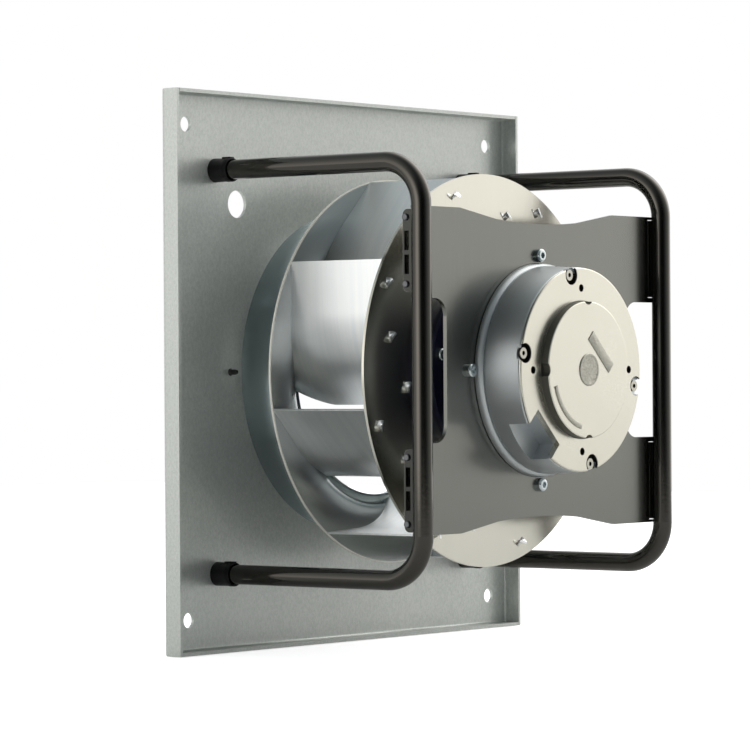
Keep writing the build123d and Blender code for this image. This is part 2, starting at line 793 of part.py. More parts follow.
def make_impeller_screws():
    """Screws through the rotor flange and the back plate, heads on the motor side."""
    screws = []
    tip = back_plate_depth - impeller_nut_height
    for index in range(impeller_screw_count):
        x, z = on_circle(impeller_screw_circle, impeller_screw_angle + index * 360 / impeller_screw_count)
        head = screw_head(x, z, impeller_head_radius, impeller_head_height, rotor_flange_motor_depth)
        screws.append(head + rod(x, z, impeller_screw_radius, tip, rotor_flange_motor_depth))
    return screws


def make_impeller_nuts():
    """Nuts on the flow side of the back plate."""
    nuts = []
    for index in range(impeller_screw_count):
        x, z = on_circle(impeller_screw_circle, impeller_screw_angle + index * 360 / impeller_screw_count)
        nuts.append(hexagon_nut(x, z, impeller_nut_flats, impeller_screw_radius + slip_clearance,
                                back_plate_depth - impeller_nut_height, back_plate_depth))
    return nuts


def make_rotor_magnets():
    """Arc magnets on the inner wall of the rotor bell."""
    start = core_depth - magnet_overhang
    end = core_depth + core_length + magnet_overhang
    ring = washer(rotor_inner_radius - magnet_thickness, rotor_inner_radius, start, end)
    gap_width = rotor_inner_radius * math.radians(magnet_gap_angle)
    for index in range(magnet_count):
        gap = block((0, rotor_radius), (-gap_width / 2, gap_width / 2), start, end)
        ring -= turn(gap, index * 360 / magnet_count)
    return list(ring.solids())


def make_shaft():
    """Shaft from the rotor hub through both bearings, grooved for the retaining ring."""
    groove_end = rear_bearing_end + retaining_ring_thickness
    shaft = rod(0, 0, shaft_radius, rotor_front_depth, groove_end + shaft_end_margin)
    return shaft - washer(shaft_radius - retaining_groove_depth, shaft_radius, rear_bearing_end, groove_end)


def make_retaining_ring():
    """Open ring in the shaft's groove, against the rear bearing."""
    outer_radius = shaft_radius + retaining_ring_height
    end = rear_bearing_end + retaining_ring_thickness
    ring = washer(shaft_radius - retaining_groove_depth, outer_radius, rear_bearing_end, end)
    opening = (-retaining_ring_opening / 2, retaining_ring_opening / 2)
    return ring - block((0, outer_radius), opening, rear_bearing_end, end)


def make_bearing_inner_ring(depth):
    """Inner ring, turning with the shaft."""
    return washer(shaft_radius, shaft_radius + bearing_race_thickness, depth, depth + bearing_width)


def make_bearing_outer_ring(depth):
    """Outer ring with its two shields."""
    race_radius = bearing_outer_radius - bearing_race_thickness
    race = washer(race_radius, bearing_outer_radius, depth, depth + bearing_width)
    shield_inner = shaft_radius + bearing_race_thickness + bearing_shield_gap
    shield_outer = bearing_outer_radius - bearing_race_thickness
    race += washer(shield_inner, shield_outer, depth, depth + bearing_shield_thickness)
    shield_start = depth + bearing_width - bearing_shield_thickness
    race += washer(shield_inner, shield_outer, shield_start, depth + bearing_width)
    return race


def make_preload_spring():
    """Flat spring washer between the front bearing and the shoulder in the bearing tube."""
    start = front_bearing_depth + bearing_width
    outer_radius = bearing_outer_radius - hole_clearance
    return washer(bearing_tube_bore, outer_radius, start, start + preload_spring_thickness)


def make_motor_flange():
    """Cast flange behind the motor plate, with its spigot and the bearing tube in one piece."""
    tube_start = front_bearing_depth
    body = washer(0, motor_flange_radius, motor_flange_depth, motor_plate_back_depth)
    rim = body.edges().filter_by(GeomType.CIRCLE).group_by(Axis.Y)[-1]
    body = fillet(rim, motor_flange_rounding)
    body += washer(0, motor_opening_radius - slip_clearance, motor_plate_back_depth, motor_plate_front_depth)
    body += washer(0, bearing_tube_radius, tube_start, motor_flange_depth)
    shoulder = front_bearing_depth + bearing_width + preload_spring_thickness
    body -= washer(0, bearing_outer_radius, tube_start, shoulder)
    body -= washer(0, bearing_tube_bore, shoulder, rear_bearing_depth)
    body -= washer(0, bearing_outer_radius, rear_bearing_depth, motor_plate_front_depth)
    for angle in (0, 90, 180, 270):
        x, z = on_circle(motor_screw_circle, angle)
        hole_end = motor_plate_front_depth - motor_screw_length
        body -= rod(x, z, motor_screw_radius, hole_end, motor_plate_back_depth)
        x, z = on_circle(housing_screw_circle, angle + 45)
        thread_end = housing_floor_top - housing_screw_length
        body -= rod(x, z, housing_screw_radius, thread_end, motor_plate_front_depth)
    return body


def make_motor_screws():
    """Four screws from the front through the motor plate into the motor flange."""
    screws = []
    for angle in (0, 90, 180, 270):
        x, z = on_circle(motor_screw_circle, angle)
        head = screw_head(x, z, motor_head_radius, motor_head_height, motor_plate_front_depth)
        shank = rod(x, z, motor_screw_radius - slip_clearance, motor_plate_front_depth - motor_screw_length,
                    motor_plate_front_depth)
        screws.append(head + shank)
    return screws


def make_stator_core():
    """Laminated core: a yoke on the bearing tube, with teeth and pole shoes facing the magnets."""
    end = core_depth + core_length
    yoke_radius = bearing_tube_radius + core_yoke
    core = washer(bearing_tube_radius, yoke_radius, core_depth, end)
    shoe_ring = washer(core_radius - pole_shoe_thickness, core_radius, core_depth, end)
    for index in range(tooth_count):
        angle = index * 360 / tooth_count
        shoe_range = (-pole_shoe_width / 2, pole_shoe_width / 2)
        shoe = shoe_ring & block((0, rotor_inner_radius), shoe_range, core_depth, end)
        tooth = block((bearing_tube_radius + core_yoke / 2, core_radius - pole_shoe_thickness / 2),
                      (-tooth_width / 2, tooth_width / 2), core_depth, end)
        core += turn(tooth + shoe, angle)
    return core


def make_stator_coils():
    """One rectangular coil round each tooth."""
    start = core_depth - coil_overhang
    end = core_depth + core_length + coil_overhang
    inner_x = bearing_tube_radius + core_yoke + coil_end_gap
    outer_x = math.sqrt((core_radius - pole_shoe_thickness) ** 2 - (coil_width / 2) ** 2) - coil_end_gap
    coils = []
    for index in range(tooth_count):
        coil = block((inner_x, outer_x), (-coil_width / 2, coil_width / 2), start, end)
        tooth_range = (-tooth_width / 2, tooth_width / 2)
        coil -= block((inner_x, outer_x), tooth_range, core_depth, core_depth + core_length)
        coils.append(turn(coil, index * 360 / tooth_count))
    return coils


def housing_envelope():
    """Outer shape of the housing: rounded base ring and a slightly tapered drum."""
    base_end = motor_plate_front_depth + housing_base_height
    groove_end = base_end + housing_groove_height
    rounding = housing_base_rounding
    rim_start = at(housing_base_radius, base_end - rounding)
    base = Polyline(at(0, cover_seat_depth), at(0, motor_plate_front_depth),
                    at(housing_base_radius, motor_plate_front_depth), rim_start)
    rim = JernArc(rim_start, (0, -1), rounding, -quarter_turn)
    drum = Polyline(at(housing_base_radius - rounding, base_end), at(housing_groove_radius, base_end),
                    at(housing_groove_radius, groove_end), at(housing_foot_radius, groove_end),
                    at(housing_top_radius, cover_seat_depth), at(0, cover_seat_depth))
    return turned(base, rim, drum)


def cable_pocket(margin, start_depth, end_depth):
    """Rectangular recess in the rim, grown by a margin on each side."""
    reach = housing_base_radius + pocket_width
    half_width = pocket_width / 2 + margin
    recess = block((pocket_inner_distance - margin, reach), (-half_width, half_width), start_depth, end_depth)
    return turn(recess, pocket_angle)


def make_electronics_housing():
    """Cast housing: drum with floor, walled cable pocket, screw bosses and board pillars."""
    envelope = housing_envelope()
    cavity_radius = housing_top_radius - housing_wall
    cavity = washer(0, cavity_radius, housing_floor_top, cover_seat_depth)
    pocket_floor = cover_depth - pocket_depth
    cavity -= cable_pocket(pocket_wall, pocket_floor - pocket_wall, cover_seat_depth)
    for angle in cover_screw_angles:
        x, z = on_circle(cover_screw_circle, angle)
        cavity -= rod(x, z, cover_boss_radius, housing_floor_top, cover_seat_depth)
    for angle in (0, 90, 180, 270):
        x, z = on_circle(board_pillar_circle, angle)
        cavity -= rod(x, z, board_pillar_radius, housing_floor_top, board_depth)
    housing = envelope - cavity
    housing -= cable_pocket(0, pocket_floor, cover_depth)
    housing -= washer(0, housing_floor_opening, motor_plate_front_depth, housing_floor_top)
    for angle in cover_screw_angles:
        x, z = on_circle(cover_screw_circle, angle)
        thread_end = cover_depth - cover_cutout_depth - cover_screw_length
        housing -= rod(x, z, cover_screw_radius, thread_end, cover_seat_depth)
    for angle in (0, 90, 180, 270):
        x, z = on_circle(board_pillar_circle, angle)
        screw_hole_end = board_depth + board_thickness - board_screw_length
        housing -= rod(x, z, board_screw_radius, screw_hole_end, board_depth)
        x, z = on_circle(housing_screw_circle, angle + 45)
        hole_radius = housing_screw_radius + hole_clearance
        housing -= rod(x, z, hole_radius, motor_plate_front_depth, housing_floor_top)
    return housing


def make_housing_screws():
    """Screws inside the housing, through its floor into the motor flange."""
    screws = []
    for angle in (45, 135, 225, 315):
        x, z = on_circle(housing_screw_circle, angle)
        head = rod(x, z, housing_head_radius, housing_floor_top, housing_floor_top + housing_head_height)
        shank = rod(x, z, housing_screw_radius - slip_clearance, housing_floor_top - housing_screw_length,
                    housing_floor_top)
        screws.append(head + shank)
    return screws


def make_housing_cover():
    """Cover with a raised, scalloped disc, four blind holes and a cut-out round each screw."""
    cover = washer(0, cover_radius, cover_seat_depth, cover_depth)
    face_edge = cover.edges().filter_by(GeomType.CIRCLE).sort_by(Axis.Y)[0]
    cover = fillet(face_edge, cover_edge_rounding)
    disc = washer(0, cover_disc_radius, cover_depth, cover_depth + cover_disc_height)
    for angle in (0, 90, 180, 270):
        x, z = on_circle(scallop_circle, angle)
        disc -= rod(x, z, scallop_radius, cover_depth, cover_depth + cover_disc_height)
    disc = fillet(disc.faces().sort_by(Axis.Y)[0].edges(), cover_disc_rounding)
    cover += disc
    hollow_radius = scallop_circle - scallop_radius - cover_disc_wall
    cover -= washer(0, hollow_radius, cover_seat_depth, cover_depth + cover_disc_height - cover_disc_wall)
    for angle in (0, 90, 180, 270):
        x, z = on_circle(face_hole_circle, angle)
        cover -= rod(x, z, face_hole_radius, cover_depth - face_hole_depth, cover_depth)
    for angle in cover_screw_angles:
        x, z = on_circle(cover_screw_circle, angle)
        cover -= rod(x, z, cover_cutout_radius, cover_depth - cover_cutout_depth, cover_depth)
        cover -= rod(x, z, cover_screw_radius + hole_clearance, cover_seat_depth, cover_depth)
    return cover - cable_pocket(0, cover_seat_depth, cover_depth)


def make_cover_screws():
    """Pan head screws in the cover's cut-outs."""
    screws = []
    head_start = cover_depth - cover_cutout_depth
    for angle in cover_screw_angles:
        x, z = on_circle(cover_screw_circle, angle)
        head = rod(x, z, cover_head_radius, head_start, head_start + cover_head_height)
        shank = rod(x, z, cover_screw_radius - slip_clearance, head_start - cover_screw_length, head_start)
        head_end = head_start + cover_head_height
        socket = rod(x, z, cover_socket_radius, head_end - cover_socket_depth, head_end)
        screws.append(head + shank - socket)
    return screws


def make_circuit_board():
    """Round board on the housing's pillars, open in the middle for the stator's leads."""
    board = washer(board_opening_radius, board_radius, board_depth, board_depth + board_thickness)
    for angle in (0, 90, 180, 270):
        x, z = on_circle(board_pillar_circle, angle)
        board -= rod(x, z, board_screw_radius + hole_clearance, board_depth, board_depth + board_thickness)
    for angle in cover_screw_angles:
        x, z = on_circle(cover_screw_circle, angle)
        board -= rod(x, z, cover_boss_radius + hole_clearance, board_depth, board_depth + board_thickness)
    return board


def make_board_screws():
    """Small screws that hold the board on its pillars."""
    screws = []
    seat = board_depth + board_thickness
    for angle in (0, 90, 180, 270):
        x, z = on_circle(board_pillar_circle, angle)
        head = rod(x, z, board_head_radius, seat, seat + board_head_height)
        shank = rod(x, z, board_screw_radius - slip_clearance, seat - board_screw_length, seat)
        screws.append(head + shank)
    return screws


def make_capacitors():
    """Round capacitors standing on the board."""
    seat = board_depth + board_thickness
    cans = []
    for angle in capacitor_angles:
        x, z = on_circle(capacitor_circle, angle)
        cans.append(rod(x, z, capacitor_radius, seat, seat + capacitor_height))
    return cans


def build_nodes():
    """Every piece of the fan by name."""
    nodes = {
        "mounting_plate": make_mounting_plate(),
        "inlet_ring": make_inlet_ring(),
        "pressure_tap": make_pressure_tap(),
        "left_tube": make_tube(-1),
        "right_tube": make_tube(1),
        "tube_inserts": make_tube_inserts(),
        "tube_screws": make_tube_screws(),
        "motor_plate": make_motor_plate(),
        "saddle_screws": make_saddle_screws(),
        "saddle_nuts": make_saddle_nuts(),
        "impeller_back_plate": make_impeller_back_plate(),
        "impeller_shroud": make_front_shroud(),
        "impeller_screws": make_impeller_screws(),
        "impeller_nuts": make_impeller_nuts(),
        "rotor_bell": make_rotor_bell(),
        "rotor_magnets": make_rotor_magnets(),
        "shaft": make_shaft(),
        "retaining_ring": make_retaining_ring(),
        "front_bearing_inner_ring": make_bearing_inner_ring(front_bearing_depth),
        "front_bearing_outer_ring": make_bearing_outer_ring(front_bearing_depth),
        "rear_bearing_inner_ring": make_bearing_inner_ring(rear_bearing_depth),
        "rear_bearing_outer_ring": make_bearing_outer_ring(rear_bearing_depth),
        "preload_spring": make_preload_spring(),
        "motor_flange": make_motor_flange(),
        "motor_screws": make_motor_screws(),
        "stator_core": make_stator_core(),
        "stator_coils": make_stator_coils(),
        "electronics_housing": make_electronics_housing(),
        "housing_screws": make_housing_screws(),
        "housing_cover": make_housing_cover(),
        "cover_screws": make_cover_screws(),
        "circuit_board": make_circuit_board(),
        "board_screws": make_board_screws(),
        "capacitors": make_capacitors(),
    }
    for sign_x, sign_z in corner_signs():
        nodes[corner_name(sign_x, sign_z) + "_sleeve"] = make_tube_sleeve(sign_x, sign_z)
        nodes[corner_name(sign_x, sign_z) + "_saddle"] = make_tube_saddle(sign_x, sign_z)
    channel = flow_channel()
    tabs = [make_blade_tab(x, z, heading) for x, z, heading in tab_places()]
    for index in range(blade_count):
        nodes["blade_" + str(index + 1)] = make_blade(index, channel, tabs)
    return nodes


os.makedirs("parts", exist_ok=True)
for name, shape in build_nodes().items():
    if isinstance(shape, list):
        shape = Compound(children=shape)
    shape.label = name
    export_step(shape, "parts/" + name + ".step")
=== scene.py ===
import bmesh
import bpy
import math
from mathutils import Matrix, Vector


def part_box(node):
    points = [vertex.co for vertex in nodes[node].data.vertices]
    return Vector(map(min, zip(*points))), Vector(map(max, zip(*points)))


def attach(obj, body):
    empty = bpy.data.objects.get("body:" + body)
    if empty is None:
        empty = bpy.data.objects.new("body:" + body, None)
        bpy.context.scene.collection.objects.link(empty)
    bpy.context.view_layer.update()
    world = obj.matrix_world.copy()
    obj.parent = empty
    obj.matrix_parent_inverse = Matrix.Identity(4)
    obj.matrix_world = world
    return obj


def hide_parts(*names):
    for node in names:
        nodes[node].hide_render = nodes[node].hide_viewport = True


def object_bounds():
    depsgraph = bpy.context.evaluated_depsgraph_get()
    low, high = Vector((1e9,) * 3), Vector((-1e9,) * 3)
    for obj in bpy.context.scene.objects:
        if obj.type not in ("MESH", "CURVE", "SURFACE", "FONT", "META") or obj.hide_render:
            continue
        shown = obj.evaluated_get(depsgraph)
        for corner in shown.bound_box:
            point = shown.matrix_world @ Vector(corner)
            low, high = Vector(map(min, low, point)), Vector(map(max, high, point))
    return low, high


# A plug fan: a backward curved impeller on an external rotor motor, carried by two bent tubes on a
# square wall plate. The CAD model is the frame. Most pieces keep its shape and get their finish here.
# The pressure tap, the sleeves, the electronics housing and its cover get a finer shape as well.
# A depth is a distance from the mounting face towards the motor, so depth d is at y = -d.
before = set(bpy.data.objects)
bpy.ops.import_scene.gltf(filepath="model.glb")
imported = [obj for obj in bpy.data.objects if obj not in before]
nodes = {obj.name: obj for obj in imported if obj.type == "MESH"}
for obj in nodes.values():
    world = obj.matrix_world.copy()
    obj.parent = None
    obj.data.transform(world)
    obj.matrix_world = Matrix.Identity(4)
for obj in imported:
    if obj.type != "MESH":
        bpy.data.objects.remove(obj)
cad_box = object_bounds()


# The wall plate: a pan folded from zinc coated sheet steel, punched for its screws and the cable.
# Its coating is satin and a little cloudy, with a faint grain along the rolling direction and a few
# handling marks.
class Value:
    """A number in a material. Sums with it add Math nodes."""

    def __init__(self, paint, socket):
        self.paint = paint
        self.socket = socket

    def maths(self, operation, first, second=0.0):
        return self.paint.node("ShaderNodeMath", {"operation": operation}, {0: first, 1: second})

    def __add__(self, other):
        return self.maths("ADD", self, other)

    __radd__ = __add__

    def __rsub__(self, other):
        return self.maths("SUBTRACT", other, self)

    def __mul__(self, other):
        return self.maths("MULTIPLY", self, other)

    __rmul__ = __mul__

    def __pow__(self, other):
        return self.maths("POWER", self, other)

    def __abs__(self):
        return self.maths("ABSOLUTE", self)

    def above(self, other):
        """The larger of the two."""
        return self.maths("MAXIMUM", self, other)

    def below(self, other):
        """The smaller of the two."""
        return self.maths("MINIMUM", self, other)

    def step(self, low, high):
        """0 below low, 1 above high, smooth between."""
        return self.paint.node("ShaderNodeMapRange", {"interpolation_type": "SMOOTHSTEP"},
                               {"Value": self, "From Min": low, "From Max": high})


class Paint:
    """A finish being written on a Principled shader."""

    def __init__(self, name, **constants):
        self.material = bpy.data.materials.new(name)
        self.material.use_nodes = True
        self.tree = self.material.node_tree
        self.shader = self.tree.nodes["Principled BSDF"]
        self.set(**constants)

    def node(self, kind, settings, inputs, output=0):
        """Adds a node with its settings and inputs, and gives one of its outputs."""
        made = self.tree.nodes.new(kind)
        for key, setting in settings.items():
            setattr(made, key, setting)
        for key, value in inputs.items():
            if isinstance(value, Value):
                self.tree.links.new(value.socket, made.inputs[key])
            else:
                made.inputs[key].default_value = value
        return Value(self, made.outputs[output])

    def place(self, scale=(1, 1, 1), turn=(0, 0, 0)):
        """Object coordinates, stretched and turned."""
        coordinates = self.node("ShaderNodeTexCoord", {}, {}, "Object")
        return self.node("ShaderNodeMapping", {}, {"Vector": coordinates, "Scale": scale, "Rotation": turn})

    def along(self, way):
        """The coordinate along X, Y or Z."""
        return self.node("ShaderNodeSeparateXYZ", {}, {"Vector": self.place()}, way)

    def towards(self, way):
        """How far a point lies along a direction."""
        return self.node("ShaderNodeVectorMath", {"operation": "DOT_PRODUCT"},
                         {0: self.place(), 1: way}, "Value")

    def reach(self):
        """The distance from the fan's axis."""
        across = self.node("ShaderNodeVectorMath", {"operation": "MULTIPLY"}, {0: self.place(), 1: (1, 0, 1)})
        return self.node("ShaderNodeVectorMath", {"operation": "LENGTH"}, {0: across}, "Value")

    def turning_lines(self, cells):
        """Fine lines round the fan's axis from 0 to 1, as a lathe or a spinning tool leaves them."""
        return self.node("ShaderNodeTexNoise", {"noise_dimensions": "1D"},
                         {"W": self.reach(), "Scale": cells, "Detail": 3.0}, "Fac")

    def noise(self, cells, detail=3.0, rough=0.5):
        """Noise from 0 to 1 with a size in each direction, given as cells in a metre."""
        return self.node("ShaderNodeTexNoise", {}, {"Vector": self.place(cells), "Scale": 1.0,
                                                    "Detail": detail, "Roughness": rough}, "Fac")

    def mix(self, share, first, second):
        """Colour between two colours."""
        ends = [end if isinstance(end, Value) else (*end, 1) for end in (first, second)]
        return self.node("ShaderNodeMix", {"data_type": "RGBA"}, {"Factor": share, 6: ends[0], 7: ends[1]}, 2)

    def bump(self, height, distance):
        """Relief, given as a height from 0 to 1 and what 1 is in metres."""
        normal = self.node("ShaderNodeBump", {}, {"Height": height, "Distance": distance})
        self.tree.links.new(normal.socket, self.shader.inputs["Normal"])

    def set(self, **inputs):
        """Links what varies to the shader, and sets what doesn't on the shader itself."""
        for key, value in inputs.items():
            socket = self.shader.inputs[key.replace("_", " ")]
            if isinstance(value, Value):
                self.tree.links.new(value.socket, socket)
            elif isinstance(value, tuple):
                socket.default_value = (*value, 1)
            else:
                socket.default_value = value


def dress(paint, *names):
    """Gives CAD nodes a finish."""
    for name in names:
        nodes[name].data.materials.clear()
        nodes[name].data.materials.append(paint.material)


zinc = Paint("zinc_coated_sheet", Metallic=0.45)
cloud = zinc.noise((14, 14, 14), 4)
grain = zinc.noise((620, 620, 420), 2).step(0.25, 0.75)
fleck = zinc.noise((1400, 1400, 1100), 1).step(0.25, 0.75)
scuff = zinc.noise((60, 60, 25), 5, 0.75).step(0.62, 0.8)
zinc.set(Base_Color=zinc.mix(cloud * 0.3 + fleck * 0.3 + grain * 0.4, (0.48, 0.51, 0.49), (0.70, 0.72, 0.69)),
         Roughness=0.28 + cloud * 0.06 + grain * 0.04 + scuff * 0.06)
zinc.bump(grain * 0.4 + fleck * 0.6, 0.000015)
dress(zinc, "mounting_plate")


# The inlet ring: a bell mouth spun from the same zinc coated sheet and seated in the plate's opening.
# Its grain runs round it, and its coating is drawn thinner and darker than on the flat plate.
spun = Paint("spun_zinc_sheet", Metallic=0.95)
lines = spun.turning_lines(1400.0)
cloud = spun.noise((20, 20, 20), 3)
spun.set(Base_Color=spun.mix(cloud * 0.6 + lines * 0.4, (0.40, 0.48, 0.50), (0.54, 0.61, 0.62)),
         Roughness=0.22 + lines * 0.05)
dress(spun, "inlet_ring")


# The pressure tap: a black moulded hose nipple with three barbs and a bore, pressed into the plate beside
# the ring. A hose leads from it to the gauge that measures the air drawn in.
def object_mode():
    if bpy.context.mode != "OBJECT":
        bpy.ops.object.mode_set(mode="OBJECT")


def clear():
    """Back to object mode, with nothing selected."""
    object_mode()
    bpy.ops.object.select_all(action="DESELECT")


def pick(piece, wanted):
    """In edit mode, selects the faces whose middle and normal fit."""
    bpy.ops.mesh.select_mode(type="FACE")
    bpy.ops.mesh.select_all(action="DESELECT")
    shape = bmesh.from_edit_mesh(piece.data)
    shape.normal_update()
    for face in shape.faces:
        face.select_set(wanted(face.calc_center_median(), face.normal))
    bmesh.update_edit_mesh(piece.data)


def front(centre, normal):
    """A face that looks to the motor side."""
    return normal.y < -0.9


def round_bar(name, x, z, radius, start, end, sides):
    """A plain bar parallel to the fan's axis, between two depths, left in edit mode."""
    clear()
    off_beat = 0.013  # a small turn, so that its edges never fall on those of a turned piece
    bpy.ops.mesh.primitive_cylinder_add(
        vertices=sides, radius=radius, depth=end - start, location=(x, -(start + end) / 2, z),
        rotation=(math.pi / 2, off_beat, 0))
    bar = bpy.context.object
    bar.name = name
    bpy.ops.object.transform_apply(location=True, rotation=True, scale=True)
    bpy.ops.object.mode_set(mode="EDIT")
    return bar


def push(depth):
    """Extrudes what is selected towards the motor side, or back for a negative depth."""
    bpy.ops.mesh.extrude_region_move(TRANSFORM_OT_translate={"value": (0, -depth, 0)})


def widen(factor, x=0, z=0):
    """Scales what is selected across the fan's axis, round a line parallel to it."""
    bpy.ops.transform.resize(value=(factor, 1, factor), center_override=(x, 0, z))


def finish_piece(piece, paint, node, sharp_angle):
    """Smooths what is round, and puts the piece in the place of its CAD node."""
    object_mode()
    bpy.ops.object.shade_smooth_by_angle(angle=math.radians(sharp_angle))
    piece.data.materials.append(paint.material)
    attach(piece, "frame")
    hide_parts(node)


plate_front = -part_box("upper_left_sleeve")[1].y
cad_collar_radius = 0.0035
tap_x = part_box("pressure_tap")[1].x - cad_collar_radius
tap_foot_radius = 0.0027
tap_foot_height = 0.0010
tap_root = 0.55
barb_count = 3
barb_length = 0.0017
barb_flare = 1.3
barb_taper = 0.77
bore_wall = 0.0006
bore_depth = 0.0050

nipple = Paint("moulded_nipple", Roughness=0.45)
mould = nipple.noise((900, 900, 900), 2)
nipple.set(Base_Color=nipple.mix(mould, (0.006, 0.006, 0.006), (0.014, 0.014, 0.014)))
nipple.bump(mould, 0.00003)

tap = round_bar("barbed_nipple", tap_x, 0, tap_foot_radius, plate_front, plate_front + tap_foot_height, 32)
pick(tap, front)
widen(tap_root, tap_x)
for _ in range(barb_count):
    pick(tap, front)
    widen(barb_flare, tap_x)
    push(barb_length)
    widen(barb_taper, tap_x)
pick(tap, front)
bpy.ops.mesh.inset(thickness=bore_wall)
push(-bore_depth)
finish_piece(tap, nipple, "pressure_tap", 30)


# The two bent tubes: round steel tube bent to a U, with a gloss black powder coat that flows into a fine
# orange peel. Each end stands in a sleeve and holds a plug for a screw from the far side of the plate.
tube_black = Paint("gloss_black_powder", IOR=1.7, Specular_Tint=(1.0, 0.94, 0.84))
peel = tube_black.noise((380, 380, 380), 2)
dust = tube_black.noise((30, 30, 30), 4)
tube_black.set(Base_Color=tube_black.mix(dust, (0.0015, 0.0014, 0.0012), (0.004, 0.0037, 0.0032)),
               Roughness=0.07 + dust * 0.06)
tube_black.bump(peel, 0.000015)
dress(tube_black, "left_tube", "right_tube")


# The four sleeves at the tubes' feet: moulded in matt black plastic, each a thin boot round the tube's end,
# with a neck and a collar at its open edge and a small lug on top. The tube's screw clamps it to the plate.
sleeve_radius = 0.0086
sleeve_wall = 0.0018
sleeve_end = 0.0190
collar_length = 0.0042
neck_length = 0.0006
neck_narrowing = 0.965
collar_widening = 1.036
collar_rounding = 0.0007
cap_offset = 0.001  # only the middles of the two flat ends are this close to the sleeve's axis
lug_size = (0.0044, 0.0080, 0.0012)
lug_setback = 0.0045
lug_rounding = 0.0003

sleeve_black = Paint("matt_black_plastic", IOR=1.35)
spark = sleeve_black.noise((1500, 1500, 1500), 2)
wear = sleeve_black.noise((90, 90, 90), 4).step(0.45, 0.8)
sleeve_black.set(Base_Color=sleeve_black.mix(wear, (0.003, 0.003, 0.003), (0.008, 0.008, 0.008)),
                 Roughness=0.42 + wear * 0.2)
sleeve_black.bump(spark, 0.00004)

for corner in ("upper_left", "upper_right", "lower_left", "lower_right"):
    low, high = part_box(corner + "_sleeve")
    x = (low.x + high.x) / 2
    z = (low.z + high.z) / 2
    sleeve = round_bar(corner + "_tube_boot", x, z, sleeve_radius, plate_front,
                       sleeve_end - collar_length - neck_length, 64)
    pick(sleeve, front)
    widen(neck_narrowing, x, z)
    push(neck_length)
    widen(collar_widening, x, z)
    push(collar_length)
    bpy.ops.mesh.bevel(offset=collar_rounding, segments=3, affect="EDGES")
    pick(sleeve, lambda centre, normal: math.hypot(centre.x - x, centre.z - z) < cap_offset)
    bpy.ops.mesh.delete(type="FACE")
    object_mode()
    bpy.ops.object.modifier_add(type="SOLIDIFY")
    sleeve.modifiers[0].thickness = sleeve_wall
    sleeve.modifiers[0].offset = -1
    bpy.ops.object.modifier_apply(modifier=sleeve.modifiers[0].name)
    finish_piece(sleeve, sleeve_black, corner + "_sleeve", 40)

    clear()
    bpy.ops.mesh.primitive_cube_add(size=1, location=(x, lug_setback - sleeve_end, z + sleeve_radius),
                                    scale=lug_size)
    lug = bpy.context.object
    lug.name = corner + "_boot_lug"
    bpy.ops.object.transform_apply(location=True, rotation=True, scale=True)
    bpy.ops.object.mode_set(mode="EDIT")
    bpy.ops.mesh.select_all(action="SELECT")
    bpy.ops.mesh.bevel(offset=lug_rounding, segments=2, affect="EDGES")
    finish_piece(lug, sleeve_black, corner + "_sleeve", 40)


# The motor plate and its tube saddles: plain satin steel with a warm grey coat, rubbed a little along its
# length. The end of each arm is bent back to the tube, and screws clamp the saddle between the two.
arm_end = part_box("motor_plate")[1].x
arm_steel = Paint("satin_grey_steel", Metallic=1.0)
cloud = arm_steel.noise((9, 9, 9), 3)
grain = arm_steel.noise((500, 500, 22), 2)
speck = arm_steel.noise((1200, 1200, 1200), 1)
# Painted shade: the bent ends of the arms next to the black tubes are painted nearly black, where the tubes'
# shadow and reflection fall.
bent_end_painted_shade = abs(arm_steel.along("X")).step(arm_end - 0.0019, arm_end - 0.0009)
sheen = arm_steel.mix(cloud * 0.4 + grain * 0.3 + speck * 0.3, (0.165, 0.168, 0.155), (0.215, 0.217, 0.203))
arm_steel.set(Base_Color=arm_steel.mix(bent_end_painted_shade * 0.8, sheen, (0.02, 0.02, 0.02)),
              Roughness=0.2 + grain * 0.06 + cloud * 0.04)
arm_steel.bump(grain * 0.5 + speck * 0.5, 0.000012)
dress(arm_steel, "motor_plate", "upper_left_saddle", "upper_right_saddle", "lower_left_saddle",
      "lower_right_saddle")


# The impeller's blades: mill finish aluminium sheet, rolled to their curve. The sheet's fine lines run
# along each blade from tip to nose. Tabs on the blade are twisted behind the back plate's slots.
blade_count = 8
sheet = Paint("mill_aluminium_sheet", Metallic=1.0)
streak = sheet.noise((5, 260, 5), 4, 0.6)
fine = sheet.noise((20, 1500, 20), 2)
sheen = sheet.mix(streak.step(0.2, 0.8) * 0.7 + fine * 0.3, (0.84, 0.87, 0.90), (0.95, 0.96, 0.95))
sheet.set(Base_Color=sheen, Roughness=0.28 + streak * 0.1 + fine * 0.04)
sheet.bump(streak, 0.000008)
dress(sheet, *["blade_%d" % (index + 1) for index in range(blade_count)])


# The impeller's back plate: a flat disc cut from rolled aluminium sheet of a warmer tone than the blades,
# and screwed to the rotor's flange. Its rolling lines run straight across.
disc = Paint("rolled_aluminium_disc", Metallic=1.0)
roll = disc.noise((240, 240, 6), 4, 0.6)
cloud = disc.noise((12, 12, 12), 3)
disc.set(Base_Color=disc.mix(roll * 0.5 + cloud * 0.5, (0.60, 0.585, 0.52), (0.70, 0.685, 0.61)),
         Roughness=0.17 + roll * 0.05)
disc.bump(roll, 0.00001)
dress(disc, "impeller_back_plate")


# The impeller's shroud: spun from aluminium sheet, so its lines run round it. Its trimmed outer edge carries
# a painted highlight: a thin band painted bright, less metallic and rougher, where the rim catches light.
shroud_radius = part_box("impeller_shroud")[1].x
shell = Paint("spun_aluminium")
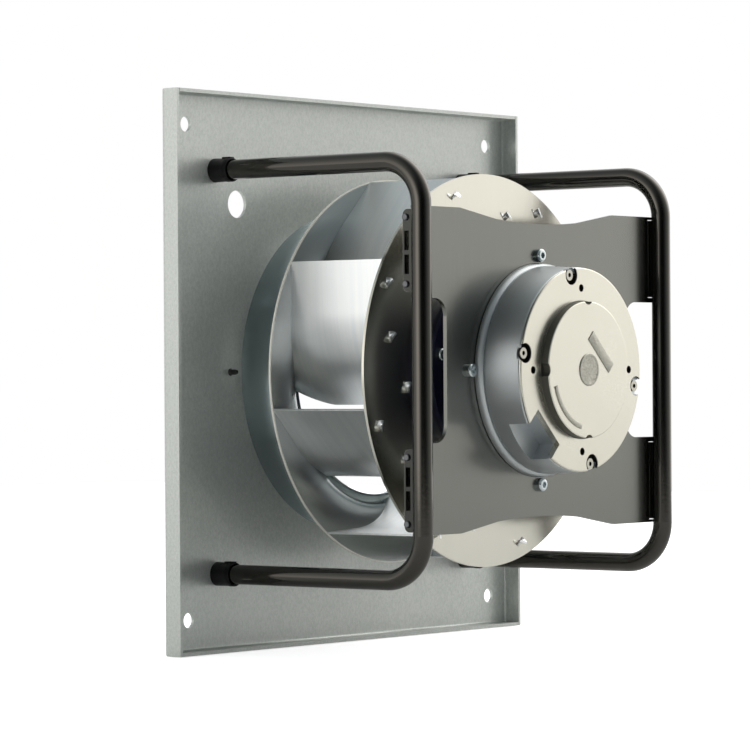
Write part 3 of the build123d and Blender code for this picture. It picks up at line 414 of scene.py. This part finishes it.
# Painted highlight: a thin bright band at the shroud's outer rim.
painted_rim_highlight = shell.reach().step(shroud_radius - 0.0012, shroud_radius - 0.0005)
lines = shell.turning_lines(1100.0)
spun_side = shell.mix(lines, (0.42, 0.445, 0.445), (0.54, 0.56, 0.555))
shell.set(Base_Color=shell.mix(painted_rim_highlight, spun_side, (0.95, 0.93, 0.86)),
          Metallic=1 - painted_rim_highlight * 0.6, Roughness=0.2 + lines * 0.08 + painted_rim_highlight * 0.3)
dress(shell, "impeller_shroud")


# The rotor bell: deep drawn steel with a dark blue black coat. It turns round the stator and carries the
# impeller on its flange.
rotor_coat = Paint("dark_rotor_coat")
cloud = rotor_coat.noise((60, 60, 60), 4)
rotor_coat.set(Base_Color=rotor_coat.mix(cloud, (0.008, 0.009, 0.030), (0.016, 0.018, 0.05)),
               Roughness=0.25 + cloud * 0.12)
rotor_coat.bump(rotor_coat.noise((700, 700, 700), 2), 0.00003)
dress(rotor_coat, "rotor_bell")


# The magnets: sintered ferrite segments, dull and finely pored, glued to the inside of the bell.
# They are hidden once the motor is closed.
ferrite = Paint("sintered_ferrite", Metallic=0.0)
pores = ferrite.noise((1600, 1600, 1600), 3)
ferrite.set(Base_Color=ferrite.mix(pores, (0.035, 0.035, 0.038), (0.075, 0.075, 0.08)),
            Roughness=0.55 + pores * 0.2)
ferrite.bump(pores, 0.00006)
dress(ferrite, "rotor_magnets")


# The shaft and the rings of its two bearings: hardened steel, ground bright, with the very fine lines
# round them that grinding leaves. The rings are pressed on the shaft and into the flange's tube.
ground = Paint("ground_steel", Metallic=1.0)
rings = ground.noise((30, 1800, 30), 2)
ground.set(Base_Color=ground.mix(rings, (0.52, 0.52, 0.52), (0.66, 0.66, 0.65)), Roughness=0.12 + rings * 0.1)
ground.bump(rings, 0.00001)
dress(ground, "shaft", "front_bearing_inner_ring", "rear_bearing_inner_ring", "front_bearing_outer_ring",
      "rear_bearing_outer_ring")


# The retaining ring and the preload spring: spring steel with a dark phosphate coat. The small screws of
# the tube saddles have the same dark finish.
blued = Paint("phosphated_spring_steel", Metallic=1.0)
patch = blued.noise((400, 400, 400), 3)
blued.set(Base_Color=blued.mix(patch, (0.11, 0.115, 0.125), (0.2, 0.2, 0.21)), Roughness=0.35 + patch * 0.15)
dress(blued, "retaining_ring", "preload_spring", "saddle_screws")


# The stator core: thin steel sheets stacked along the axis and pressed on the flange's bearing tube.
# The edges of the sheets show as fine bands.
stack = Paint("stacked_sheets", Metallic=1.0)
layers = stack.node("ShaderNodeTexWave", {"wave_type": "BANDS", "bands_direction": "Y"},
                    {"Vector": stack.place(), "Scale": 320.0, "Distortion": 0.4, "Detail": 2.0}, "Fac")
stack.set(Base_Color=stack.mix(layers, (0.2, 0.2, 0.21), (0.36, 0.36, 0.37)), Roughness=0.4 + layers * 0.1)
stack.bump(layers, 0.0001)
dress(stack, "stator_core")


# The coils: enamelled copper wire wound on each tooth of the core, with the clear gloss of the enamel
# over it.
copper = Paint("enamelled_copper", Metallic=1.0, Coat_Weight=0.6)
wires = copper.node("ShaderNodeTexWave", {"wave_type": "BANDS", "bands_direction": "DIAGONAL"},
                    {"Vector": copper.place(), "Scale": 180.0, "Distortion": 0.8, "Detail": 1.0}, "Fac")
copper.set(Base_Color=copper.mix(wires, (0.45, 0.17, 0.07), (0.78, 0.36, 0.18)), Roughness=0.3)
copper.bump(wires, 0.0003)
dress(copper, "stator_coils")


# The motor's fixed castings: the flange, and the drum for the electronics with its base ring, groove,
# drafted wall and the pocket for the cable glands. Die cast aluminium with a fine grey skin. The flange
# stands behind the motor plate on screws that go through it, and the drum in front.
def lathe(name, profile, sides):
    """Turns a closed outline of (radius, depth) round the fan's axis. Left in edit mode."""
    clear()
    radius, depth = profile[0]
    bpy.ops.mesh.primitive_circle_add(vertices=sides, radius=radius, location=(0, -depth, 0),
                                      rotation=(math.pi / 2, 0, 0))
    turned = bpy.context.object
    turned.name = name
    bpy.ops.object.transform_apply(location=True, rotation=True, scale=True)
    bpy.ops.object.mode_set(mode="EDIT")
    bpy.ops.mesh.select_mode(type="EDGE")
    bpy.ops.mesh.select_all(action="SELECT")
    for next_radius, next_depth in profile[1:] + profile[:1]:
        push(next_depth - depth)
        widen(next_radius / radius)
        radius, depth = next_radius, next_depth
    bpy.ops.mesh.select_all(action="SELECT")
    bpy.ops.mesh.remove_doubles(threshold=0.000005)
    bpy.ops.mesh.delete_loose(use_verts=True, use_edges=True, use_faces=False)
    bpy.ops.mesh.select_all(action="SELECT")
    bpy.ops.mesh.normals_make_consistent(inside=False)
    return turned


def cut(piece, tool):
    """Cuts a piece with a tool, and removes the tool."""
    clear()
    bpy.context.view_layer.objects.active = piece
    piece.select_set(True)
    bpy.ops.object.modifier_add(type="BOOLEAN")
    piece.modifiers[0].object = tool
    piece.modifiers[0].operation = "DIFFERENCE"
    bpy.ops.object.modifier_apply(modifier=piece.modifiers[0].name)
    bpy.data.objects.remove(tool)


def block(near, far, half_width, start, end, angle):
    """A box between two depths, from one distance to another along a direction away from the axis."""
    clear()
    turn = math.radians(angle)
    middle = (near + far) / 2
    bpy.ops.mesh.primitive_cube_add(
        size=1, location=(middle * math.cos(turn), -(start + end) / 2, middle * math.sin(turn)),
        rotation=(0, -turn, 0), scale=(far - near, end - start, 2 * half_width))
    made = bpy.context.object
    bpy.ops.object.transform_apply(location=True, rotation=True, scale=True)
    return made


def drill(x, z, radius, start, end, sides):
    """A tool for a round hole between two depths."""
    tool = round_bar("drill", x, z, radius, start, end, sides)
    object_mode()
    return tool


def spot_on(circle, angle):
    """The x and z of a place on a circle round the fan's axis."""
    return circle * math.cos(math.radians(angle)), circle * math.sin(math.radians(angle))


pole = 0.000002  # the radius at which a turned outline closes on the axis
drum_foot = -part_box("electronics_housing")[1].y
drum_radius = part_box("electronics_housing")[1].x
cover_seat = -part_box("housing_cover")[1].y
cover_top = -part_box("housing_cover")[0].y
before = drum_foot - 0.0025
beyond = cover_top + 0.0050
outside = drum_radius + 0.0135
drum_end = cover_seat + 0.0031
drum_end_radius = 0.0719
drum_inside = 0.0686
drum_core = 0.0250
drum_bore = 0.0255
drum_wall = 0.0030
cover_screw_circle = 0.0680
screw_places = [spot_on(cover_screw_circle, angle) for angle in (100, 170, 280, 350)]
screw_boss_radius = 0.0055
screw_recess_radius = 0.0070
screw_recess_start = cover_seat + 0.0010
pocket_angle = 225
pocket_near = 0.0565
pocket_half_width = 0.01775
pocket_start = cover_seat - 0.0125

skin = Paint("cast_aluminium_skin", Metallic=1.0)
grit = skin.noise((1500, 1500, 1500), 2)
cloud = skin.noise((25, 25, 25), 4)
skin.set(Base_Color=skin.mix(cloud * 0.6 + grit * 0.4, (0.47, 0.50, 0.515), (0.60, 0.63, 0.645)),
         Roughness=0.37 + cloud * 0.06 + grit * 0.05)
skin.bump(grit, 0.00002)
dress(skin, "motor_flange")

# The base ring and the groove above it, as (inset, rise) from the drum's widest edge.
base_ring = [(0.0006, 0), (0, 0.0006), (0, 0.0017), (0.0003, 0.0033), (0.0010, 0.0048), (0.0021, 0.0059),
             (0.0034, 0.0063)]
groove = [(0.0034, 0.0069), (0.0026, 0.0073), (0.0022, 0.0079)]
outline = [(drum_core, drum_foot)]
outline += [(drum_radius - inset, drum_foot + rise) for inset, rise in base_ring + groove]
outline += [(drum_end_radius + 0.0007, drum_end - 0.0007), (drum_end_radius, drum_end), (drum_core, drum_end)]
drum = lathe("cast_drum", outline, 144)
cavity_floor = drum_foot + drum_wall
cavity_end = drum_end + 0.0009
bore_end = cavity_floor + 0.0045
cavity = lathe("cavity", [(pole, cavity_floor), (drum_inside, cavity_floor), (drum_inside, cavity_end),
                          (pole, cavity_end)], 96)
cut(cavity, block(pocket_near - drum_wall, outside, pocket_half_width + drum_wall, pocket_start - drum_wall,
                  cover_seat, pocket_angle))
for x, z in screw_places:
    cut(cavity, drill(x, z, screw_boss_radius, before, cover_seat, 32))
cut(drum, cavity)
for x, z in screw_places:
    cut(drum, drill(x, z, screw_recess_radius, screw_recess_start, beyond, 47))
cut(drum, block(pocket_near, outside, pocket_half_width, pocket_start, beyond, pocket_angle))
cut(drum, drill(0, 0, drum_bore, before, bore_end, 64))
finish_piece(drum, skin, "electronics_housing", 25)


# The cover: cast aluminium with a turned face and a raised disc, scalloped at four places, with blind holes
# beside them and recesses for its four screws. A spigot centres it in the drum.
cover_radius = 0.0724
spigot_radius = 0.0684
disc_radius = 0.0485
face_depth = cover_seat + 0.0050
disc_depth = cover_top - 0.0007
disc_hollow_radius = 0.0430
disc_hollow_depth = cover_seat + 0.0087
scallop_circle = 0.0515
scallop_radius = 0.0055
hole_circle = 0.0580
hole_radius = 0.00275
hole_floor = cover_seat + 0.0011
under_cover = cover_seat - 0.0050

face = Paint("turned_cover_face", Metallic=1.0)
grit = face.noise((1300, 1300, 1300), 2)
cloud = face.noise((18, 18, 18), 4)
height = face.along("Y")
radius = face.reach()
pocket_side = face.towards((-0.707, 0, -0.707)).step(pocket_near - 0.0025, pocket_near - 0.0005)
outer_edge = radius.step(cover_radius - 0.0010, cover_radius - 0.0004)
# Painted shade: the recesses and holes set below the turned face, leaving out the rim and the pocket's side,
# are painted near black and rougher, and so is the side wall of the raised disc.
recess_painted_shade = height.step(0.0003 - face_depth, 0.0010 - face_depth) * (1 - outer_edge) * (1 - pocket_side)
disc_wall_painted_shade = 1 - radius.step(disc_radius + 0.0004, disc_radius + 0.0009)
disc_wall_painted_shade = disc_wall_painted_shade * radius.step(disc_radius - 0.0060, disc_radius - 0.0050)
disc_wall_painted_shade = disc_wall_painted_shade * height.step(0.0003 - disc_depth, 0.0008 - disc_depth)
shade = recess_painted_shade.above(disc_wall_painted_shade * 0.85)
bright = face.mix(cloud * 0.75 + grit * 0.25, (0.60, 0.58, 0.50), (0.70, 0.685, 0.61))
face.set(Base_Color=face.mix(shade, bright, (0.035, 0.035, 0.033)),
         Roughness=0.22 + cloud * 0.06 + grit * 0.03 + shade * 0.3)
face.bump(grit, 0.000008)

cover = lathe("turned_cover", [
    (pole, disc_hollow_depth), (disc_hollow_radius, disc_hollow_depth), (disc_hollow_radius, cover_seat),
    (spigot_radius, cover_seat), (spigot_radius, drum_end), (cover_radius - 0.0005, drum_end),
    (cover_radius, drum_end + 0.0004), (cover_radius, face_depth - 0.0006),
    (cover_radius - 0.0003, face_depth - 0.0002), (cover_radius - 0.0008, face_depth),
    (disc_radius + 0.0003, face_depth), (disc_radius, face_depth + 0.0003),
    (disc_radius, disc_depth - 0.0006), (disc_radius - 0.0002, disc_depth - 0.0002),
    (disc_radius - 0.0007, disc_depth), (disc_radius - 0.0033, disc_depth), (pole, disc_depth)], 144)
for angle in (0, 90, 180, 270):
    x, z = spot_on(scallop_circle, angle)
    cut(cover, drill(x, z, scallop_radius, face_depth + 0.0001, beyond, 47))
    x, z = spot_on(hole_circle, angle)
    cut(cover, drill(x, z, hole_radius, hole_floor, beyond, 25))
for x, z in screw_places:
    cut(cover, drill(x, z, screw_recess_radius, screw_recess_start, beyond, 47))
cut(cover, block(pocket_near, outside, pocket_half_width, under_cover, beyond, pocket_angle))
finish_piece(cover, face, "housing_cover", 20)


# The reliefs on the cover's disc: a round boss in the middle, a bar shaped pad and a curved rib, cast with
# the cover and stippled by the mould. They are plain, with nothing written on them.
relief_root = disc_depth - 0.0005
boss_radius = 0.0115
boss_ring_width = 0.0020
pad_half_length = 0.0170
pad_half_width = 0.0041
pad_angle = -44
pad_x = 0.0144
pad_z = 0.0126
pad_bevel = 0.0002
rib_inside = 0.0398
rib_outside = 0.0430
rib_first_angle = -163
rib_last_angle = -104

stipple = Paint("stippled_relief", Metallic=1.0)
dots = stipple.noise((1700, 1700, 1700), 1)
stipple.set(Base_Color=stipple.mix(dots.step(0.35, 0.65), (0.26, 0.255, 0.225), (0.52, 0.505, 0.445)),
            Roughness=0.35 + dots * 0.15)
stipple.bump(dots, 0.00005)

boss = lathe("round_boss", [
    (pole, relief_root), (boss_radius, relief_root), (boss_radius, cover_top - 0.0002),
    (boss_radius - 0.0003, cover_top), (boss_radius - boss_ring_width + 0.0003, cover_top),
    (boss_radius - boss_ring_width, cover_top - 0.0002), (pole, cover_top - 0.0002)], 64)
finish_piece(boss, stipple, "housing_cover", 30)

pad = block(-pad_half_length, pad_half_length, pad_half_width, relief_root, cover_top - 0.0001, pad_angle)
pad.name = "plain_pad"
bpy.ops.object.mode_set(mode="EDIT")
bpy.ops.mesh.select_all(action="SELECT")
bpy.ops.transform.translate(value=(pad_x, 0, pad_z))
pick(pad, front)
bpy.ops.mesh.bevel(offset=pad_bevel, segments=2, affect="EDGES")
finish_piece(pad, stipple, "housing_cover", 30)


def past_rib(centre, normal):
    """A face of the full ring outside the rib's stretch."""
    return not rib_first_angle < math.degrees(math.atan2(centre.z, centre.x)) < rib_last_angle


rib = lathe("curved_rib", [
    (rib_inside, relief_root), (rib_outside, relief_root), (rib_outside, cover_top - 0.0001),
    (rib_outside - 0.0003, cover_top), (rib_inside + 0.0003, cover_top),
    (rib_inside, cover_top - 0.0001)], 180)
pick(rib, past_rib)
bpy.ops.mesh.delete(type="FACE")
bpy.ops.mesh.select_all(action="SELECT")
bpy.ops.mesh.fill_holes(sides=0)
bpy.ops.mesh.normals_make_consistent(inside=False)
finish_piece(rib, stipple, "housing_cover", 30)


# The circuit board: green laminate with copper tracks under the lacquer, screwed down inside the drum.
# It is hidden once the cover is on.
laminate = Paint("green_laminate")
tracks = laminate.node("ShaderNodeTexBrick", {"offset": 0.37, "squash": 0.6},
                       {"Vector": laminate.place((160, 1, 160), (math.pi / 2, 0, 0)), "Scale": 1.0,
                        "Mortar Size": 0.12, "Color1": (0, 0, 0, 1), "Color2": (0, 0, 0, 1),
                        "Mortar": (1, 1, 1, 1)}, "Fac")
laminate.set(Base_Color=laminate.mix(tracks, (0.018, 0.13, 0.05), (0.05, 0.26, 0.11)), Roughness=0.35)
laminate.bump(tracks, 0.00004)
dress(laminate, "circuit_board")


# The capacitors on the board: round cans drawn from bright aluminium, with the faint clouds that drawing
# leaves. They are soldered to the board by their feet.
can = Paint("drawn_can", Metallic=1.0)
drawn = can.noise((40, 40, 40), 3)
can.set(Base_Color=can.mix(drawn, (0.5, 0.51, 0.53), (0.62, 0.63, 0.65)), Roughness=0.2 + drawn * 0.1)
dress(can, "capacitors")


# The fasteners: cold formed steel screws and nuts, and the turned plugs in the tubes' ends, all with
# bright zinc plating, which is a little blue.
plated = Paint("bright_zinc", Metallic=1.0)
sparkle = plated.noise((900, 900, 900), 2)
plated.set(Base_Color=plated.mix(sparkle, (0.50, 0.56, 0.58), (0.66, 0.71, 0.72)),
           Roughness=0.16 + sparkle * 0.12)
plated.bump(sparkle, 0.00002)
dress(plated, "motor_screws", "saddle_nuts", "impeller_screws", "impeller_nuts", "tube_screws",
      "tube_inserts", "housing_screws", "board_screws")


# The cover's four screws: steel with a duller, warmer plating. Their heads stand in the cover's recesses,
# and their driven sockets are painted near black as painted shade.
cover_screw_top = -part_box("cover_screws")[0].y
driven = Paint("dull_zinc", Metallic=1.0)
sparkle = driven.noise((900, 900, 900), 2)
# Painted shade: everything below the top of the screw heads, inside the sockets, is painted near black.
socket_painted_shade = driven.along("Y").step(0.0002 - cover_screw_top, 0.0006 - cover_screw_top)
plating = driven.mix(sparkle, (0.40, 0.39, 0.34), (0.58, 0.57, 0.50))
driven.set(Base_Color=driven.mix(socket_painted_shade, plating, (0.05, 0.05, 0.05)), Roughness=0.25 + sparkle * 0.12)
driven.bump(sparkle, 0.00003)
dress(driven, "cover_screws")


# The studio's light: the object stands between two white walls, one behind it on the left and one in front
# on the right, under two soft ceilings, and the side of the camera is dark. The background is white.
sky = bpy.data.worlds.new("studio")
sky.use_nodes = True
bpy.context.scene.world = sky


class Sky(Paint):
    """The world's light, written the same way."""

    def __init__(self, world):
        self.tree = world.node_tree
        self.shader = self.tree.nodes["Background"]


air = Sky(sky)
direction = air.node("ShaderNodeTexCoord", {}, {}, "Generated")


def facing(way):
    """How far a ray's direction points one way, from -1 to 1."""
    unit = tuple(Vector(way).normalized())
    return air.node("ShaderNodeVectorMath", {"operation": "DOT_PRODUCT"},
                    {0: direction, 1: unit}, "Value")


def lamp(way, narrowness, strength):
    """Soft light that comes from one direction."""
    return facing(way).above(0.0) ** narrowness * strength


left_wall = lamp((-0.87, 0.5, 0), 6, 1.15) + lamp((-0.98, 0.18, 0), 14, 2.0)
back_wall = lamp((0.15, 1, 0), 6, 1.2)
left_ceiling = lamp((-0.35, 0.61, 0.71), 6, 0.35) + lamp((-0.71, 0, 0.71), 6, 0.35)
right_wall = lamp((1, -0.1, 0), 6, 1.85) + lamp((0.5, -0.87, 0), 6, 0.55)
right_ceiling = lamp((0.71, 0, 0.71), 6, 3.0) + lamp((0.35, -0.61, 0.71), 6, 0.45)
glow = left_wall + back_wall + left_ceiling + right_wall + right_ceiling + 0.01
tint = air.mix(glow.below(1.0), (0.8, 0.96, 1.0), (1.0, 0.985, 0.955))
backdrop = facing((0.778, 0.627, 0)).step(0.6, 0.95)
camera_ray, glossy_ray, clear_ray = [air.node("ShaderNodeLightPath", {}, {}, output) for output in
                                     ("Is Camera Ray", "Is Glossy Ray", "Is Transmission Ray")]
seen = (camera_ray + (glossy_ray + clear_ray) * backdrop).below(1.0)
air.set(Color=air.mix(seen, tint, (1.0, 1.0, 1.0)), Strength=seen + (1 - seen) * glow)


# The studio's floor: plain and pale, just under the plate's lower edge. What the camera sees of it is
# lifted towards white, and the object's shadow stays on it.
bpy.ops.mesh.primitive_plane_add(size=6, location=(0, 0, cad_box[0][2] - 0.0005))
floor = bpy.context.object
floor.name = "floor"
pale = Paint("pale_floor", Base_Color=(0.8, 0.8, 0.8), Roughness=0.9)
camera_ray = pale.node("ShaderNodeLightPath", {}, {}, "Is Camera Ray")
pale.set(Emission_Color=pale.mix(camera_ray, (0.0, 0.0, 0.0), (1.0, 1.0, 1.0)), Emission_Strength=0.75)
floor.data.materials.append(pale.material)


# The camera: at the photograph's viewing angle, on the motor's side to the left, with a long lens. Its
# place and angles were fitted to the corners and holes of the wall plate.
camera_side = math.radians(-51.149)
camera_rise = math.radians(-0.025)
camera_roll = math.radians(-0.369)
camera_distance = 2.74301
camera_shift_right = 0.02467
camera_shift_down = 0.00254

lens = bpy.data.cameras.new("camera")
lens.lens = 176.34
lens.sensor_width = 36
lens.clip_start = 0.1
lens.clip_end = 50
eye = bpy.data.objects.new("camera", lens)
bpy.context.scene.collection.objects.link(eye)
back = Vector((math.sin(camera_side) * math.cos(camera_rise), -math.cos(camera_side) * math.cos(camera_rise),
               math.sin(camera_rise)))
level = Vector((math.cos(camera_side), math.sin(camera_side), 0))
upright = back.cross(level)
right = level * math.cos(camera_roll) + upright * math.sin(camera_roll)
up = upright * math.cos(camera_roll) - level * math.sin(camera_roll)
eye.matrix_world = Matrix((right, up, back)).transposed().to_4x4()
eye.location = right * camera_shift_right - up * camera_shift_down + back * camera_distance
bpy.context.scene.camera = eye
bpy.context.scene.view_settings.view_transform = "Standard"
